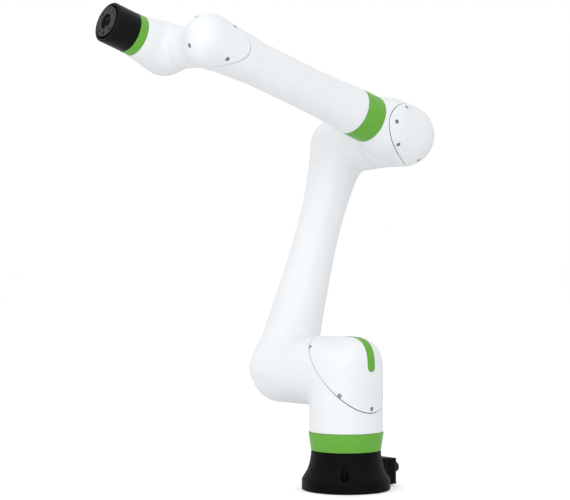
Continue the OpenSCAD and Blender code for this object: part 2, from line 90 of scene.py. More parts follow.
def cone(P, o, a, s0, r0, s1, r1):
    """Endless tapered tube about the axis, radius r0 at s0 and r1 at s1, straight beyond them."""
    q, s = qs(P, o, a)
    k = (r1 - r0) / (s1 - s0)
    r = r0 + k * (np.clip(s, s0, s1) - s0)
    return (q - r) / math.sqrt(1 + k * k)


def slab(P, o, a, lo, hi, k=2.0):
    s = (P - np.asarray(o, float)) @ a
    return smax(s - hi, lo - s, k)


def round_end(P, o, a, r, length, c):
    """Cylinder whose far end is rounded with radius c."""
    q, s = qs(P, o, a)
    u, v = q - (r - c), s - (length - c)
    return np.hypot(np.maximum(u, 0), np.maximum(v, 0)) + np.minimum(np.maximum(u, v), 0) - c


def box3(P, o, half, r):
    d = np.abs(P - np.asarray(o, float)) - (np.asarray(half, float) - r)
    return np.linalg.norm(np.maximum(d, 0), axis=1) + np.minimum(d.max(1), 0) - r


def step(t):
    t = np.clip(t, 0, 1)
    return t * t * (3 - 2 * t)


def bend(u, v, w, p, ra, rb, k):
    """Two tubes that meet at a rounded mitre. u and v point out of the corner, w is the third coordinate;
    ra and rb give the radii at a distance from the corner, and agree at 0."""
    a = np.hypot(w, (np.maximum(u, 0) ** p + np.abs(v) ** p) ** (1 / p)) - ra(np.maximum(-u, 0))
    b = np.hypot(w, (np.maximum(v, 0) ** p + np.abs(u) ** p) ** (1 / p)) - rb(np.maximum(-v, 0))
    return smin(a, b, 0.01 + k * step(np.minimum(-u, -v) / 30))


def flare(R, r1, length, soft=14.0, r2=None, far=1.0, k=1.0):
    """Radius along a tube: R at 0, easing into a straight taper to r1 at length, then to r2 at far."""
    full = math.hypot(length, soft) - soft

    def r(s):
        t = (np.hypot(np.clip(s, 0, length), soft) - soft) / full
        near = R - (R - r1) * t
        return near if r2 is None else near + (r2 - r1) * np.clip((s - length) / (far - length), 0, 1) ** k
    return r


def grad(f, P, e=0.02):
    g = np.empty_like(P)
    for i in range(3):
        d = np.zeros(3)
        d[i] = e
        g[:, i] = (f(P + d) - f(P - d)) / (2 * e)
    return g


# ---------------------------------------------------------------- surface from a field
def surface(f, lo, hi, h, relax=3):
    lo, hi = np.array(lo, float), np.array(hi, float)
    n = np.ceil((hi - lo) / h).astype(int) + 1
    ax = [lo[i] + h * np.arange(n[i]) for i in range(3)]
    val = np.empty(n)
    gy, gz = np.meshgrid(ax[1], ax[2], indexing="ij")
    step = max(1, int(400000 / gy.size))
    for i in range(0, n[0], step):
        xs = ax[0][i:i + step]
        P = np.empty((len(xs), gy.size, 3))
        P[:, :, 0] = xs[:, None]
        P[:, :, 1] = gy.ravel()
        P[:, :, 2] = gz.ravel()
        val[i:i + step] = f(P.reshape(-1, 3)).reshape(len(xs), *gy.shape)
    ins = val < 0
    count = np.zeros(n - 1, int)
    corner = [(a, b, c) for a in (0, 1) for b in (0, 1) for c in (0, 1)]
    for a, b, c in corner:
        count += ins[a:n[0] - 1 + a, b:n[1] - 1 + b, c:n[2] - 1 + c]
    cells = np.argwhere((count > 0) & (count < 8))
    idx = -np.ones(n - 1, int)
    idx[tuple(cells.T)] = np.arange(len(cells))
    acc, num = np.zeros((len(cells), 3)), np.zeros(len(cells))
    for p in corner:
        for a in range(3):
            if p[a]:
                continue
            q = list(p)
            q[a] = 1
            i0, i1 = cells + p, cells + q
            v0, v1 = val[tuple(i0.T)], val[tuple(i1.T)]
            m = (v0 < 0) != (v1 < 0)
            t = v0[m] / (v0[m] - v1[m])
            pt = i0[m].astype(float)
            pt[:, a] += t
            acc[m] += pt
            num[m] += 1
    V = lo + h * acc / num[:, None]
    quads = []
    for a in range(3):
        b, c = (a + 1) % 3, (a + 2) % 3
        s0 = [slice(None)] * 3
        s1 = [slice(None)] * 3
        s0[a], s1[a] = slice(0, n[a] - 1), slice(1, n[a])
        first = ins[tuple(s0)]
        cross = first != ins[tuple(s1)]
        p = np.argwhere(cross)
        p = p[(p[:, b] > 0) & (p[:, c] > 0) & (p[:, b] < n[b] - 1) & (p[:, c] < n[c] - 1)]
        eb, ec = np.eye(3, dtype=int)[b], np.eye(3, dtype=int)[c]
        q = np.stack([idx[tuple(x.T)] for x in (p, p - eb, p - eb - ec, p - ec)], 1)
        flip = ~first[tuple(p.T)]
        q[flip] = q[flip][:, ::-1]
        quads.append(q)
    Q = np.vstack(quads)
    Q = Q[(Q >= 0).all(1)]
    E = np.vstack([Q[:, [0, 1]], Q[:, [1, 2]], Q[:, [2, 3]], Q[:, [3, 0]]])
    E = np.vstack([E, E[:, ::-1]])
    deg = np.bincount(E[:, 0], minlength=len(V))[:, None]
    for it in range(relax + 1):
        if it:
            S = np.stack([np.bincount(E[:, 0], V[E[:, 1], k], len(V)) for k in range(3)], 1) / deg
            V = V + 0.6 * (S - V)
        for _ in range(2 if it < relax else 4):
            g = grad(f, V)
            d = f(V)
            stepv = g * (d / np.maximum((g * g).sum(1), 0.2))[:, None]
            size = np.linalg.norm(stepv, axis=1, keepdims=True)
            V = V - stepv * np.minimum(1, 0.6 * h / np.maximum(size, 1e-9))
    d0 = np.linalg.norm(V[Q[:, 0]] - V[Q[:, 2]], axis=1)
    d1 = np.linalg.norm(V[Q[:, 1]] - V[Q[:, 3]], axis=1)
    a = d0 <= d1
    T = np.vstack([Q[a][:, [0, 1, 2]], Q[a][:, [0, 2, 3]], Q[~a][:, [1, 2, 3]], Q[~a][:, [1, 3, 0]]])
    return V, T


def split(V, T, g, N, iso, keep_below):
    """Cuts triangles along the line where the along-surface distance to g's zero is iso."""
    d, tang = along(V, g, N)
    s = d - iso
    snap = np.abs(s) < 0.1
    V = V.copy()
    V[snap] -= tang[snap] * s[snap][:, None]
    s[snap] = 0
    sg = np.sign(s).astype(int)
    tri = sg[T]
    mixed = (tri > 0).any(1) & (tri < 0).any(1)
    M, keepT = T[mixed], T[~mixed]
    sm = sg[M]
    zero = (sm == 0).any(1)
    # one corner on the line
    Z1 = M[zero]
    k = np.argmax(sg[Z1] == 0, 1) if len(Z1) else np.zeros(0, int)
    Z1 = np.stack([Z1[np.arange(len(Z1)), (k + i) % 3] for i in range(3)], 1) if len(Z1) else Z1.reshape(0, 3)
    # lone corner first
    L = M[~zero]
    if len(L):
        sl = sg[L]
        lone = np.argmax(sl == -np.sign(sl.sum(1))[:, None], 1)
        L = np.stack([L[np.arange(len(L)), (lone + i) % 3] for i in range(3)], 1)
    edges = np.vstack([Z1[:, [1, 2]], L[:, [0, 1]], L[:, [0, 2]]])
    if len(edges):
        key, inv = np.unique(np.sort(edges, 1), axis=0, return_inverse=True)
        inv = inv.ravel()
        t = s[key[:, 0]] / (s[key[:, 0]] - s[key[:, 1]])
        new = V[key[:, 0]] + (V[key[:, 1]] - V[key[:, 0]]) * t[:, None]
        base = len(V)
        V = np.vstack([V, new])
        s = np.concatenate([s, np.zeros(len(new))])
        m = base + inv[:len(Z1)]
        p = base + inv[len(Z1):len(Z1) + len(L)]
        q = base + inv[len(Z1) + len(L):]
        parts = [keepT]
        if len(Z1):
            parts += [np.stack([Z1[:, 0], Z1[:, 1], m], 1), np.stack([Z1[:, 0], m, Z1[:, 2]], 1)]
        if len(L):
            parts += [np.stack([L[:, 0], p, q], 1), np.stack([p, L[:, 1], L[:, 2]], 1), np.stack([p, L[:, 2], q], 1)]
        T = np.vstack(parts)
    if not keep_below:
        T = T[(s[T] >= 0).all(1) & (s[T] > 0).any(1)]
    return V, T


def along(V, g, N):
    v = g(V)
    gr = grad(g, V)
    n = N(V)
    gt = gr - n * (gr * n).sum(1)[:, None]
    L = np.maximum(np.linalg.norm(gt, axis=1), 0.25)
    return v / L, gt / L[:, None] ** 1 / np.maximum(np.linalg.norm(gt / L[:, None], axis=1), 1e-6)[:, None]


class Mesh:
    """Triangles in mm with a normal per corner."""

    def __init__(self):
        self.v, self.t, self.n, self.k = [], [], [], 0

    def add(self, V, T, N):
        self.v.append(V)
        self.t.append(T + self.k)
        self.n.append(N)
        self.k += len(V)

    def build(self, name, body, place, mat, replaces=()):
        V, T, N = np.vstack(self.v), np.vstack(self.t), np.vstack(self.n)
        o, R = place
        V, N = o + V @ R, N @ R
        key, inv = np.unique(np.round(V, 3), axis=0, return_inverse=True)
        inv = inv.ravel()
        T = inv[T]
        good = (T[:, 0] != T[:, 1]) & (T[:, 1] != T[:, 2]) & (T[:, 2] != T[:, 0])
        T, N = T[good], N.reshape(-1, 3, 3)[good].reshape(-1, 3)
        me = bpy.data.meshes.new(name)
        me.vertices.add(len(key))
        me.vertices.foreach_set("co", (key / 1000).ravel())
        me.loops.add(T.size)
        me.loops.foreach_set("vertex_index", T.ravel())
        me.polygons.add(len(T))
        me.polygons.foreach_set("loop_start", np.arange(0, T.size, 3))
        me.update(calc_edges=True)
        me.polygons.foreach_set("use_smooth", np.ones(len(T), bool))
        used = np.unique(T)
        if len(used) < len(key):
            pass
        N = N / np.maximum(np.linalg.norm(N, axis=1, keepdims=True), 1e-9)
        me.normals_split_custom_set([tuple(x) for x in N])
        me.validate()
        ob = bpy.data.objects.new(name, me)
        SCENE.collection.objects.link(ob)
        me.materials.append(mat)
        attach(ob, body)
        if replaces:
            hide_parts(*replaces)
        return ob


def corner_normals(T, Nv):
    return Nv[T].reshape(-1, 3)


def face_normals(V, T):
    n = np.cross(V[T[:, 1]] - V[T[:, 0]], V[T[:, 2]] - V[T[:, 0]])
    n /= np.maximum(np.linalg.norm(n, axis=1, keepdims=True), 1e-12)
    return np.repeat(n, 3, axis=0)


class Shell:
    """A skin cut out of a field's surface, with rounded cut edges and a real thickness."""

    def __init__(self, f, V, T):
        self.f, self.V, self.T, self.cuts = f, V, T, []

    def normal(self, P):
        g = grad(self.f, P)
        return g / np.maximum(np.linalg.norm(g, axis=1, keepdims=True), 1e-9)

    def cut(self, g, rho=0.7, hole=None):
        """Keeps g > 0. hole = (axis point, direction, radius, seat depth) makes a screw pocket."""
        self.cuts.append((g, rho, hole))
        return self

    def make(self, mesh, thick=4.0):
        V, T = self.V, self.T
        for g, rho, hole in self.cuts:
            V, T = split(V, T, g, self.normal, 0.0, False)
            for k in (0.12, 0.4, 1.0):
                V, T = split(V, T, g, self.normal, k * rho, True)
        used, T = np.unique(T, return_inverse=True)
        T = T.reshape(-1, 3)
        V = V[used]
        n = self.normal(V)
        inset, tilt = np.zeros(len(V)), np.zeros((len(V), 3))
        owner = -np.ones(len(V), int)
        for c, (g, rho, hole) in enumerate(self.cuts):
            d, tang = along(V, g, self.normal)
            d = np.maximum(d, 0)
            e = np.clip((rho - d) / rho, 0, 1)
            drop = rho * (1 - np.sqrt(np.maximum(1 - e * e, 0)))
            m = drop > inset
            inset[m] = drop[m]
            tilt[m] = (-tang * e[:, None])[m]
            owner[(d < 0.02)] = c
        outer = V - n * inset[:, None]
        lean = np.linalg.norm(tilt, axis=1, keepdims=True)
        on = n * np.sqrt(np.maximum(1 - lean ** 2, 0)) + tilt
        mesh.add(outer, T, corner_normals(T, on))
        # edges without a neighbour
        E = np.vstack([T[:, [0, 1]], T[:, [1, 2]], T[:, [2, 0]]])
        key = np.sort(E, 1)
        _, inv, cnt = np.unique(key, axis=0, return_inverse=True, return_counts=True)
        B = E[cnt[inv.ravel()] == 1]
        inner = V - n * thick
        mesh.add(inner, T[:, ::-1], corner_normals(T[:, ::-1], -n))
        if len(B):
            both = np.where(owner[B[:, 0]] == owner[B[:, 1]], owner[B[:, 0]], np.maximum(owner[B[:, 0]], owner[B[:, 1]]))
            for c in np.unique(both):
                rows = B[both == c]
                hole = self.cuts[c][2] if c >= 0 else None
                rings = [outer]
                if hole is not None:
                    o, a, r, seat = hole
                    o, a = np.asarray(o, float), unit(a)
                    s = (outer - o) @ a
                    radial = outer - o - s[:, None] * a
                    rn = radial / np.maximum(np.linalg.norm(radial, axis=1, keepdims=True), 1e-9)
                    for rr, ss in ((r, seat), (2.2, seat), (2.2, seat - 3.5), (r + 2.2, seat - 3.5)):
                        rings.append(o + rn * rr + a * ss)
                rings.append(inner)
                for k in range(len(rings) - 1):
                    A, C = rings[k], rings[k + 1]
                    P = np.vstack([A[rows[:, 0]], A[rows[:, 1]], C[rows[:, 1]], C[rows[:, 0]]])
                    m = len(rows)
                    i = np.arange(m)
                    F = np.vstack([np.stack([i + m, i, i + 3 * m], 1), np.stack([i + m, i + 3 * m, i + 2 * m], 1)])
                    mesh.add(P, F, face_normals(P, F))
        return self


def lathe(mesh, o, a, prof, seg=160, smooth=0.6, closed=True):
    """Turns a closed outline of (radius, height) points about an axis; the outline runs anticlockwise in the (r, s) plane."""
    a = unit(a)
    u = unit(np.cross(a, Z if abs(a[2]) < 0.9 else X))
    w = np.cross(a, u)
    prof = np.array(prof, float)
    m = len(prof)
    th = np.linspace(0, 2 * math.pi, seg, endpoint=False)
    dirs = np.cos(th)[:, None] * u + np.sin(th)[:, None] * w
    nxt = np.roll(prof, -1, 0)
    e = nxt - prof
    ln = np.maximum(np.linalg.norm(e, axis=1, keepdims=True), 1e-9)
    en = np.stack([e[:, 1], -e[:, 0]], 1) / ln        # outward for an anticlockwise outline
    prevn = np.roll(en, 1, 0)
    dot = (en * prevn).sum(1)
    for i in range(m if closed else m - 1):
        j = (i + 1) % m
        n0 = en[i] + prevn[i] if dot[i] > smooth else en[i]
        n1 = en[i] + en[(i + 1) % m] if dot[j] > smooth else en[i]
        n0, n1 = n0 / np.linalg.norm(n0), n1 / np.linalg.norm(n1)
        A = o + prof[i, 0] * dirs + prof[i, 1] * a
        C = o + prof[j, 0] * dirs + prof[j, 1] * a
        NA, NC = n0[0] * dirs + n0[1] * a, n1[0] * dirs + n1[1] * a
        P, NP = np.vstack([A, C]), np.vstack([NA, NC])
        k = np.arange(seg)
        k2 = (k + 1) % seg
        F = np.vstack([np.stack([k, k2, k2 + seg], 1), np.stack([k, k2 + seg, k + seg], 1)])
        mesh.add(P, F, corner_normals(F, NP))
    return mesh


def fillet(points, steps=5):
    """Outline with rounded corners: each entry is (r, s) or (r, s, radius)."""
    out, n = [], len(points)
    for i, p in enumerate(points):
        c = np.array(p[:2], float)
        r = p[2] if len(p) > 2 else 0
        if not r:
            out.append(tuple(c))
            continue
        a, b = unit(np.array(points[i - 1][:2]) - c), unit(np.array(points[(i + 1) % n][:2]) - c)
        half = math.acos(max(-1, min(1, float(a @ b)))) / 2
        t = r / math.tan(half)
        mid = c + unit(a + b) * (r / math.sin(half))
        p0, p1 = c + a * t, c + b * t
        v0, v1 = p0 - mid, p1 - mid
        w = math.acos(max(-1, min(1, float(v0 @ v1) / (r * r))))
        for k in range(steps + 1):
            f = k / steps
            out.append(tuple(mid + (v0 * math.sin((1 - f) * w) + v1 * math.sin(f * w)) / math.sin(w)))
    return out


def screw_head(mesh, o, a, r=3.4, h=2.6, hexr=1.5, depth=1.5, turn=0.0, shank=6.0):
    """Button-headed socket screw; o is the seat, a points out."""
    a = unit(a)
    u = unit(np.cross(a, Z if abs(a[2]) < 0.9 else X))
    w = np.cross(a, u)
    seg = 36
    prof = [(0, -shank), (1.9, -shank), (1.9, 0), (r, 0), (r, h * 0.35), (r * 0.95, h * 0.62), (r * 0.82, h * 0.86), (r * 0.66, h), ]
    th = np.linspace(0, 2 * math.pi, seg, endpoint=False)
    dirs = np.cos(th)[:, None] * u + np.sin(th)[:, None] * w
    hexd = hexr * math.cos(math.pi / 6) / np.cos((th - turn + math.pi / 6) % (math.pi / 3) - math.pi / 6)
    rings = [o + p[0] * dirs + p[1] * a for p in prof]
    rings.append(o + hexd[:, None] * dirs + h * a)
    rings.append(o + hexd[:, None] * dirs + (h - depth) * a)
    rings.append(o + 0 * dirs + (h - depth - 0.3) * a)
    k = np.arange(seg)
    k2 = (k + 1) % seg
    for i in range(len(rings) - 1):
        P = np.vstack([rings[i], rings[i + 1]])
        F = np.vstack([np.stack([k, k2, k2 + seg], 1), np.stack([k, k2 + seg, k + seg], 1)])
        ln = np.linalg.norm(np.cross(P[F[:, 1]] - P[F[:, 0]], P[F[:, 2]] - P[F[:, 0]]), axis=1)
        F = F[ln > 1e-6]
        mesh.add(P, F, face_normals(P, F))
    return mesh


# ---------------------------------------------------------------- materials
def nodes_of(name):
    m = bpy.data.materials.new(name)
    m.use_nodes = True
    nt = m.node_tree
    return m, nt, nt.nodes["Principled BSDF"]


def add(nt, kind, **kw):
    n = nt.nodes.new(kind)
    for k, v in kw.items():
        if k in n.inputs:
            n.inputs[k].default_value = v
        else:
            setattr(n, k, v)
    return n


def noise(nt, co, scale, detail=3.0, rough=0.5, dist=0.0):
    n = add(nt, "ShaderNodeTexNoise")
    n.inputs["Scale"].default_value = scale
    n.inputs["Detail"].default_value = detail
    n.inputs["Roughness"].default_value = rough
    n.inputs["Distortion"].default_value = dist
    nt.links.new(co.outputs["Object"], n.inputs["Vector"])
    return n


def ramp(nt, src, lo, hi, a, b):
    """Maps src from lo..hi to colour or value a..b."""
    if isinstance(a, (int, float)):
        n = add(nt, "ShaderNodeMapRange")
        for k, v in zip(("From Min", "From Max", "To Min", "To Max"), (lo, hi, a, b)):
            n.inputs[k].default_value = v
        nt.links.new(src, n.inputs["Value"])
        return n.outputs["Result"]
    n = add(nt, "ShaderNodeValToRGB")
    n.color_ramp.elements[0].position, n.color_ramp.elements[1].position = lo, hi
    n.color_ramp.elements[0].color, n.color_ramp.elements[1].color = (*a, 1), (*b, 1)
    nt.links.new(src, n.inputs["Fac"])
    return n.outputs["Color"]


def bumps(nt, bsdf, layers):
    """layers = [(height socket, strength, distance m)] stacked."""
    last = None
    for src, strength, dist in layers:
        b = add(nt, "ShaderNodeBump")
        b.inputs["Strength"].default_value = strength
        b.inputs["Distance"].default_value = dist
        nt.links.new(src, b.inputs["Height"])
        if last:
            nt.links.new(last, b.inputs["Normal"])
        last = b.outputs["Normal"]
    nt.links.new(last, bsdf.inputs["Normal"])


def paint(name, lo, hi, rough=(0.3, 0.4), coat=0.25, coat_rough=0.12, peel=0.035, grain=0.0, scale=520.0, patch=7.0, metallic=0.0, spec=0.5):
    m, nt, b = nodes_of(name)
    co = add(nt, "ShaderNodeTexCoord")
    big = noise(nt, co, patch, 4.0, 0.55)
    fine = noise(nt, co, scale, 2.0, 0.5)
    mid = noise(nt, co, scale / 9, 3.0, 0.6)
    mix = add(nt, "ShaderNodeMath", operation="MULTIPLY_ADD")
    mix.inputs[1].default_value = 0.35
    nt.links.new(mid.outputs["Fac"], mix.inputs[0])
    nt.links.new(big.outputs["Fac"], mix.inputs[2])
    nt.links.new(ramp(nt, mix.outputs[0], 0.45, 0.9, lo, hi), b.inputs["Base Color"])
    nt.links.new(ramp(nt, mid.outputs["Fac"], 0.3, 0.7, rough[0], rough[1]), b.inputs["Roughness"])
    b.inputs["Coat Weight"].default_value = coat
    b.inputs["Coat Roughness"].default_value = coat_rough
    b.inputs["Metallic"].default_value = metallic
    b.inputs["Specular IOR Level"].default_value = spec
    layers = [(fine.outputs["Fac"], peel, 0.0008)]
    if grain:
        pits = noise(nt, co, scale * 1.9, 4.0, 0.7)
        layers.append((pits.outputs["Fac"], grain, 0.0006))
    bumps(nt, b, layers)
    return m


def metal(name, lo, hi, rough=(0.25, 0.4), stretch=(1, 1, 30), scale=90.0, strength=0.05):
    m, nt, b = nodes_of(name)
    co = add(nt, "ShaderNodeTexCoord")
    mp = add(nt, "ShaderNodeMapping")
    mp.inputs["Scale"].default_value = stretch
    nt.links.new(co.outputs["Object"], mp.inputs["Vector"])
    n = add(nt, "ShaderNodeTexNoise")
    n.inputs["Scale"].default_value = scale
    n.inputs["Detail"].default_value = 4.0
    nt.links.new(mp.outputs["Vector"], n.inputs["Vector"])
    nt.links.new(ramp(nt, n.outputs["Fac"], 0.3, 0.7, lo, hi), b.inputs["Base Color"])
    nt.links.new(ramp(nt, n.outputs["Fac"], 0.3, 0.7, rough[0], rough[1]), b.inputs["Roughness"])
    b.inputs["Metallic"].default_value = 1.0
    bumps(nt, b, [(n.outputs["Fac"], strength, 0.0004)])
    return m


WHITE = paint("white_paint", (0.772, 0.785, 0.80), (0.808, 0.822, 0.838), (0.32, 0.42), 0.15, 0.18, 0.03, scale=620.0, spec=0.4)
GREEN = paint("green_trim", (0.112, 0.365, 0.034), (0.135, 0.41, 0.044), (0.36, 0.46), 0.05, 0.25, 0.045, scale=700.0, spec=0.25)
BLACK = paint("black_cast_paint", (0.0020, 0.0020, 0.0025), (0.0045, 0.0045, 0.0053), (0.38, 0.52), 0.0, 0.2, 0.16, grain=0.10, scale=360.0, spec=0.05)
BLACK_PL = paint("black_plastic", (0.0025, 0.0025, 0.003), (0.0055, 0.0055, 0.0065), (0.30, 0.42), 0.0, 0.2, 0.08, scale=800.0, spec=0.09)
ANOD = paint("black_anodised", (0.008, 0.008, 0.009), (0.016, 0.016, 0.018), (0.30, 0.38), 0.0, 0.2, 0.05, scale=900.0, metallic=0.2, spec=0.3)
JACKET = paint("cable_jacket", (0.015, 0.015, 0.018), (0.03, 0.03, 0.034), (0.5, 0.62), 0.0, 0.2, 0.12, scale=500.0)
SCREW = metal("screw_steel", (0.22, 0.225, 0.24), (0.36, 0.37, 0.39), (0.28, 0.42), (1, 1, 1), 700.0, 0.06)
GEAR = metal("gear_steel", (0.48, 0.49, 0.50), (0.62, 0.63, 0.64), (0.22, 0.34))
CASE = metal("motor_case", (0.26, 0.265, 0.28), (0.36, 0.365, 0.38), (0.34, 0.48), (1, 1, 6), 140.0, 0.08)
COPPER = metal("rotor_copper", (0.62, 0.33, 0.19), (0.74, 0.42, 0.26), (0.26, 0.4), (1, 1, 12), 120.0, 0.06)
BRASS = metal("brass", (0.62, 0.45, 0.17), (0.76, 0.57, 0.24), (0.2, 0.32), (1, 1, 4), 260.0, 0.05)
BY_SLOT = {"white_paint": WHITE, "green_trim": GREEN, "black_paint": BLACK, "black_plastic": BLACK_PL, "black_anodised": ANOD,
           "cable_jacket": JACKET, "screw_steel": SCREW, "gear_steel": GEAR, "motor_case": CASE, "rotor_copper": COPPER, "brass_fitting": BRASS}
slot_of = {s["node"]: s["material_slot"] for s in frame["record"]["subparts"]}
for n, ob in frame["nodes"].items():
    mat = BY_SLOT[slot_of[n]]
    if not ob.material_slots:
        ob.data.materials.append(mat)
    for ms in ob.material_slots:
        ms.link = "OBJECT"
        ms.material = mat

FINE = 3.2     # cell of the housings' surfaces, mm


def side(f, lo, hi, h=FINE):
    V, T = surface(f, lo, hi, h)
    return V, T


def plane(o, n, off=0.0):
    o, n = np.asarray(o, float), unit(n)
    return lambda P: (P - o) @ n - off


def flip(g, gap=0.0):
    return lambda P: -g(P) - gap


def hole_cut(o, a, r):
    o, a = np.asarray(o, float), unit(a)

    def g(P):
        q, s = qs(P, o, a)
        return np.maximum(q - r, -s - 25)
    return g


GAP = 0.72      # half the width of a cover seam
LIFT = 0.5      # how far a cover stands proud of its housing


def on_surface(f, o, a, start=90.0):
    """Distance along a from o to the field's surface, found from outside."""
    o, a = np.asarray(o, float), unit(a)
    s = start
    for _ in range(60):
        d = float(f((o + a * s)[None])[0])
        s -= d * 0.9
        if abs(d) < 1e-3:
            break
    return s


def cover_pair(name_h, name_c, body, place, f, V, T, g, ends, pockets, replaces_h, replaces_c, screws_name, screws_node, thick=4.0, extra=None):
    """Housing and cover cut from one surface along g = 0, with screw pockets in the cover."""
    h = Mesh()
    s = Shell(f, V, T).cut(lambda P: -g(P) - GAP, 0.8)
    for e in ends:
        s.cut(e, 0.9)
    s.make(h, thick)
    h.build(name_h, body, place, WHITE, replaces_h)
    c = Mesh()
    n = grad(f, V)
    n /= np.maximum(np.linalg.norm(n, axis=1, keepdims=True), 1e-9)
    s = Shell(f, V + LIFT * n, T).cut(lambda P: g(P) - GAP, 0.9)
    for e in ends:
        s.cut(e, 0.9)
    sm = Mesh()
    for i, (o, a) in enumerate(pockets):
        p = np.asarray(o, float) + unit(a) * (on_surface(f, o, a) + LIFT)
        a = unit(0.8 * unit(grad(f, p[None])[0]) + 0.2 * unit(a))
        s.cut(hole_cut(p, a, 4.7), 0.5, (p, a, 4.7, -3.0))
        screw_head(sm, p - a * 3.0, a, r=3.8, h=2.5, turn=0.7 * i)
    if extra:
        extra(s)
    s.make(c, thick + LIFT)
    c.build(name_c, body, place, WHITE, replaces_c)
    sm.build(screws_name, body, place, SCREW, screws_node)


# ---------------------------------------------------------------- shoulder
def f_shoulder(P):
    return bend(P[:, 1], P[:, 2] - 245, P[:, 0], 3.3, flare(77.5, 76.6, 45), flare(77.5, 77.9, 60), 9.0)


V, T = surface(f_shoulder, (-88, -100, 108), (88, 88, 334), FINE)
seam_sh = plane(J2, (0, 1, 1), -1.6)


def stripe_g(P):
    """Positive outside the stripe, on the dome's middle plane."""
    v = P - J2
    ang = np.degrees(np.arctan2(v[:, 2], v[:, 1]))
    lo, hi = 11.0, 80.0
    run = np.radians(np.maximum(np.maximum(lo - ang, ang - hi), 0)) * 80.3
    return np.hypot(v[:, 0], run) - 10.5


sh_pockets = []
for x, v in ((54, 77), (-54, 77), (62.4, -64), (-62.4, -64), (0, -106)):
    vv = np.array([0, -R2, R2]) * v
    sh_pockets.append((J2 + np.array([x, 0, 0]) + vv, (0, 1, 1)))
ends_sh = [plane((0, 0, 121.75), Z), plane((0, -90, 0), Y)]
cover_pair("shoulder_housing_skin", "shoulder_cover_skin", "shoulder", WORLD, f_shoulder, V, T, seam_sh, ends_sh, sh_pockets,
           ["shoulder_housing"], ["shoulder_cover"], "shoulder_cover_screw_set", ["shoulder_cover_screws"],
           extra=lambda s: s.cut(lambda P: stripe_g(P) - 0.25, 0.5))
st = Mesh()
Shell(lambda P: f_shoulder(P) + 0.15, *surface(lambda P: f_shoulder(P) + 0.15, (-20, -10, 235), (20, 92, 334), 1.6)).cut(lambda P: -stripe_g(P) - 0.05, 0.6).cut(plane(J2, (0, 1, 1), 5), 0.3).make(st, 1.8)
st.build("accent_stripe_inlay", "shoulder", WORLD, GREEN, ["accent_stripe"])

ring = Mesh()
lathe(ring, np.zeros(3), Z, fillet([(69.1, 82.7, 0.4), (73.9, 82.7, 0.9), (79.7, 121.3, 0.7), (69.1, 121.3, 0.4)]))
ring.build("waist_ring_turned", "shoulder", WORLD, GREEN, ["j1_trim_ring"])


# ---------------------------------------------------------------- upper arm
def f_arm(P):
    z = P[:, 2] / 540
    low = smax(round_end(P, (0, 0, 0), -Y, 73.8, 257.1, 49), P[:, 1] + 84, 1.0)
    top = smax(round_end(P, (0, 0, 540), -Y, 67.0, 225.6, 20), P[:, 1] + 62, 1.0)
    r = 49.7 - 22.5 * (z - 0.5) + 79.5 * (z - 0.5) ** 2 + 102.6 * (z - 0.5) ** 3
    top = top + 2.2 * step((P[:, 1] + 130) / 60)
    tube = np.hypot(P[:, 0], P[:, 1] + 203.4 - 2.4 * z) - r
    tube = smax(tube, slab(P, (0, 0, 0), Z, -25.3, 560, 40.0), np.where(z > 0.5, 44.1, 20.0))
    f = smin(smin(tube, low, 22.0), top, 19.9)
    side = smin(np.hypot(P[:, 0], P[:, 2] - 540) - 67.0, smax(np.abs(P[:, 0]) - r - 1.0, P[:, 2] - 540, 4.0), 4.0)
    f = np.where(z > 0.6, smax(f, side, 12.0 * step((z - 0.6) / 0.15) + 0.01), f)
    return smax(f, -P[:, 1] - 259.5 + 14.9 * np.clip(z, 0, 1), 16.0)


V, T = surface(f_arm, (-84, -268, -84), (84, -58, 612), 4.0)
arm = Mesh()
cap_lo = lambda P: np.maximum(np.hypot(P[:, 0], P[:, 2]) - 50.0, P[:, 1] + 225)
cap_hi = lambda P: np.maximum(np.hypot(P[:, 0], P[:, 2] - 540) - 44.0, P[:, 1] + 215)
near = lambda P: -P[:, 1] - 90.8 + 21.1 * np.clip((P[:, 2] - 120) / 300, 0, 1)
Shell(f_arm, V, T).cut(near, 0.9).cut(cap_lo, 0.8).cut(cap_hi, 0.8).make(arm, 5.0)
arm.build("upper_arm_skin", "upper_arm", ARM, WHITE, ["upper_arm"])
caps = Mesh()
for name, z0, r, rs, node, nb in (("lower_arm_cap_skin", 0, 49.3, 43, "lower_arm_cap", -225), ("upper_arm_cap_skin", 540, 43.3, 38, "upper_arm_cap", -215)):
    cp = Mesh()
    zone = lambda P, z0=z0, r=r, nb=nb: np.minimum(r - np.hypot(P[:, 0], P[:, 2] - z0), nb - P[:, 1])
    lo, hi = (-60, -264, z0 - 60), (60, nb - 2, z0 + 60)
    s = Shell(f_arm, *surface(f_arm, lo, hi, 2.6)).cut(zone, 0.8)
    for i in range(4):
        t = math.radians(45 + 90 * i)
        o = np.array([rs * math.cos(t), -200, z0 + rs * math.sin(t)])
        top = on_surface(f_arm, o, -Y)
        s.cut(hole_cut(o, -Y, 4.1), 0.5, (o, -Y, 4.1, top - 3.6))
        screw_head(caps, o - Y * (top - 3.6), -Y, h=2.3, turn=0.5 * i)
    s.make(cp, 5.0)
    cp.build(name, "upper_arm", ARM, WHITE, [node])
caps.build("arm_cap_screw_set", "upper_arm", ARM, SCREW, ["arm_cap_screws"])


# ---------------------------------------------------------------- elbow
def f_elbow(P):
    w = P[:, 2] - 2.0 * step(1 - np.maximum(P[:, 0], -P[:, 1]) / 100)
    return bend(-P[:, 0], P[:, 1], w, 2.05, lambda s: smin(67.9 - 2.2 * np.clip(s / 60, 0, 1), 89.9 - 0.3605 * s, 7.0), flare(67.9, 64.8, 60), 9.0)


def seam_el(P):
    return -P[:, 0] * math.sin(math.radians(27)) + P[:, 1] * math.cos(math.radians(27)) - 4.5 - 0.0032 * P[:, 2] ** 2


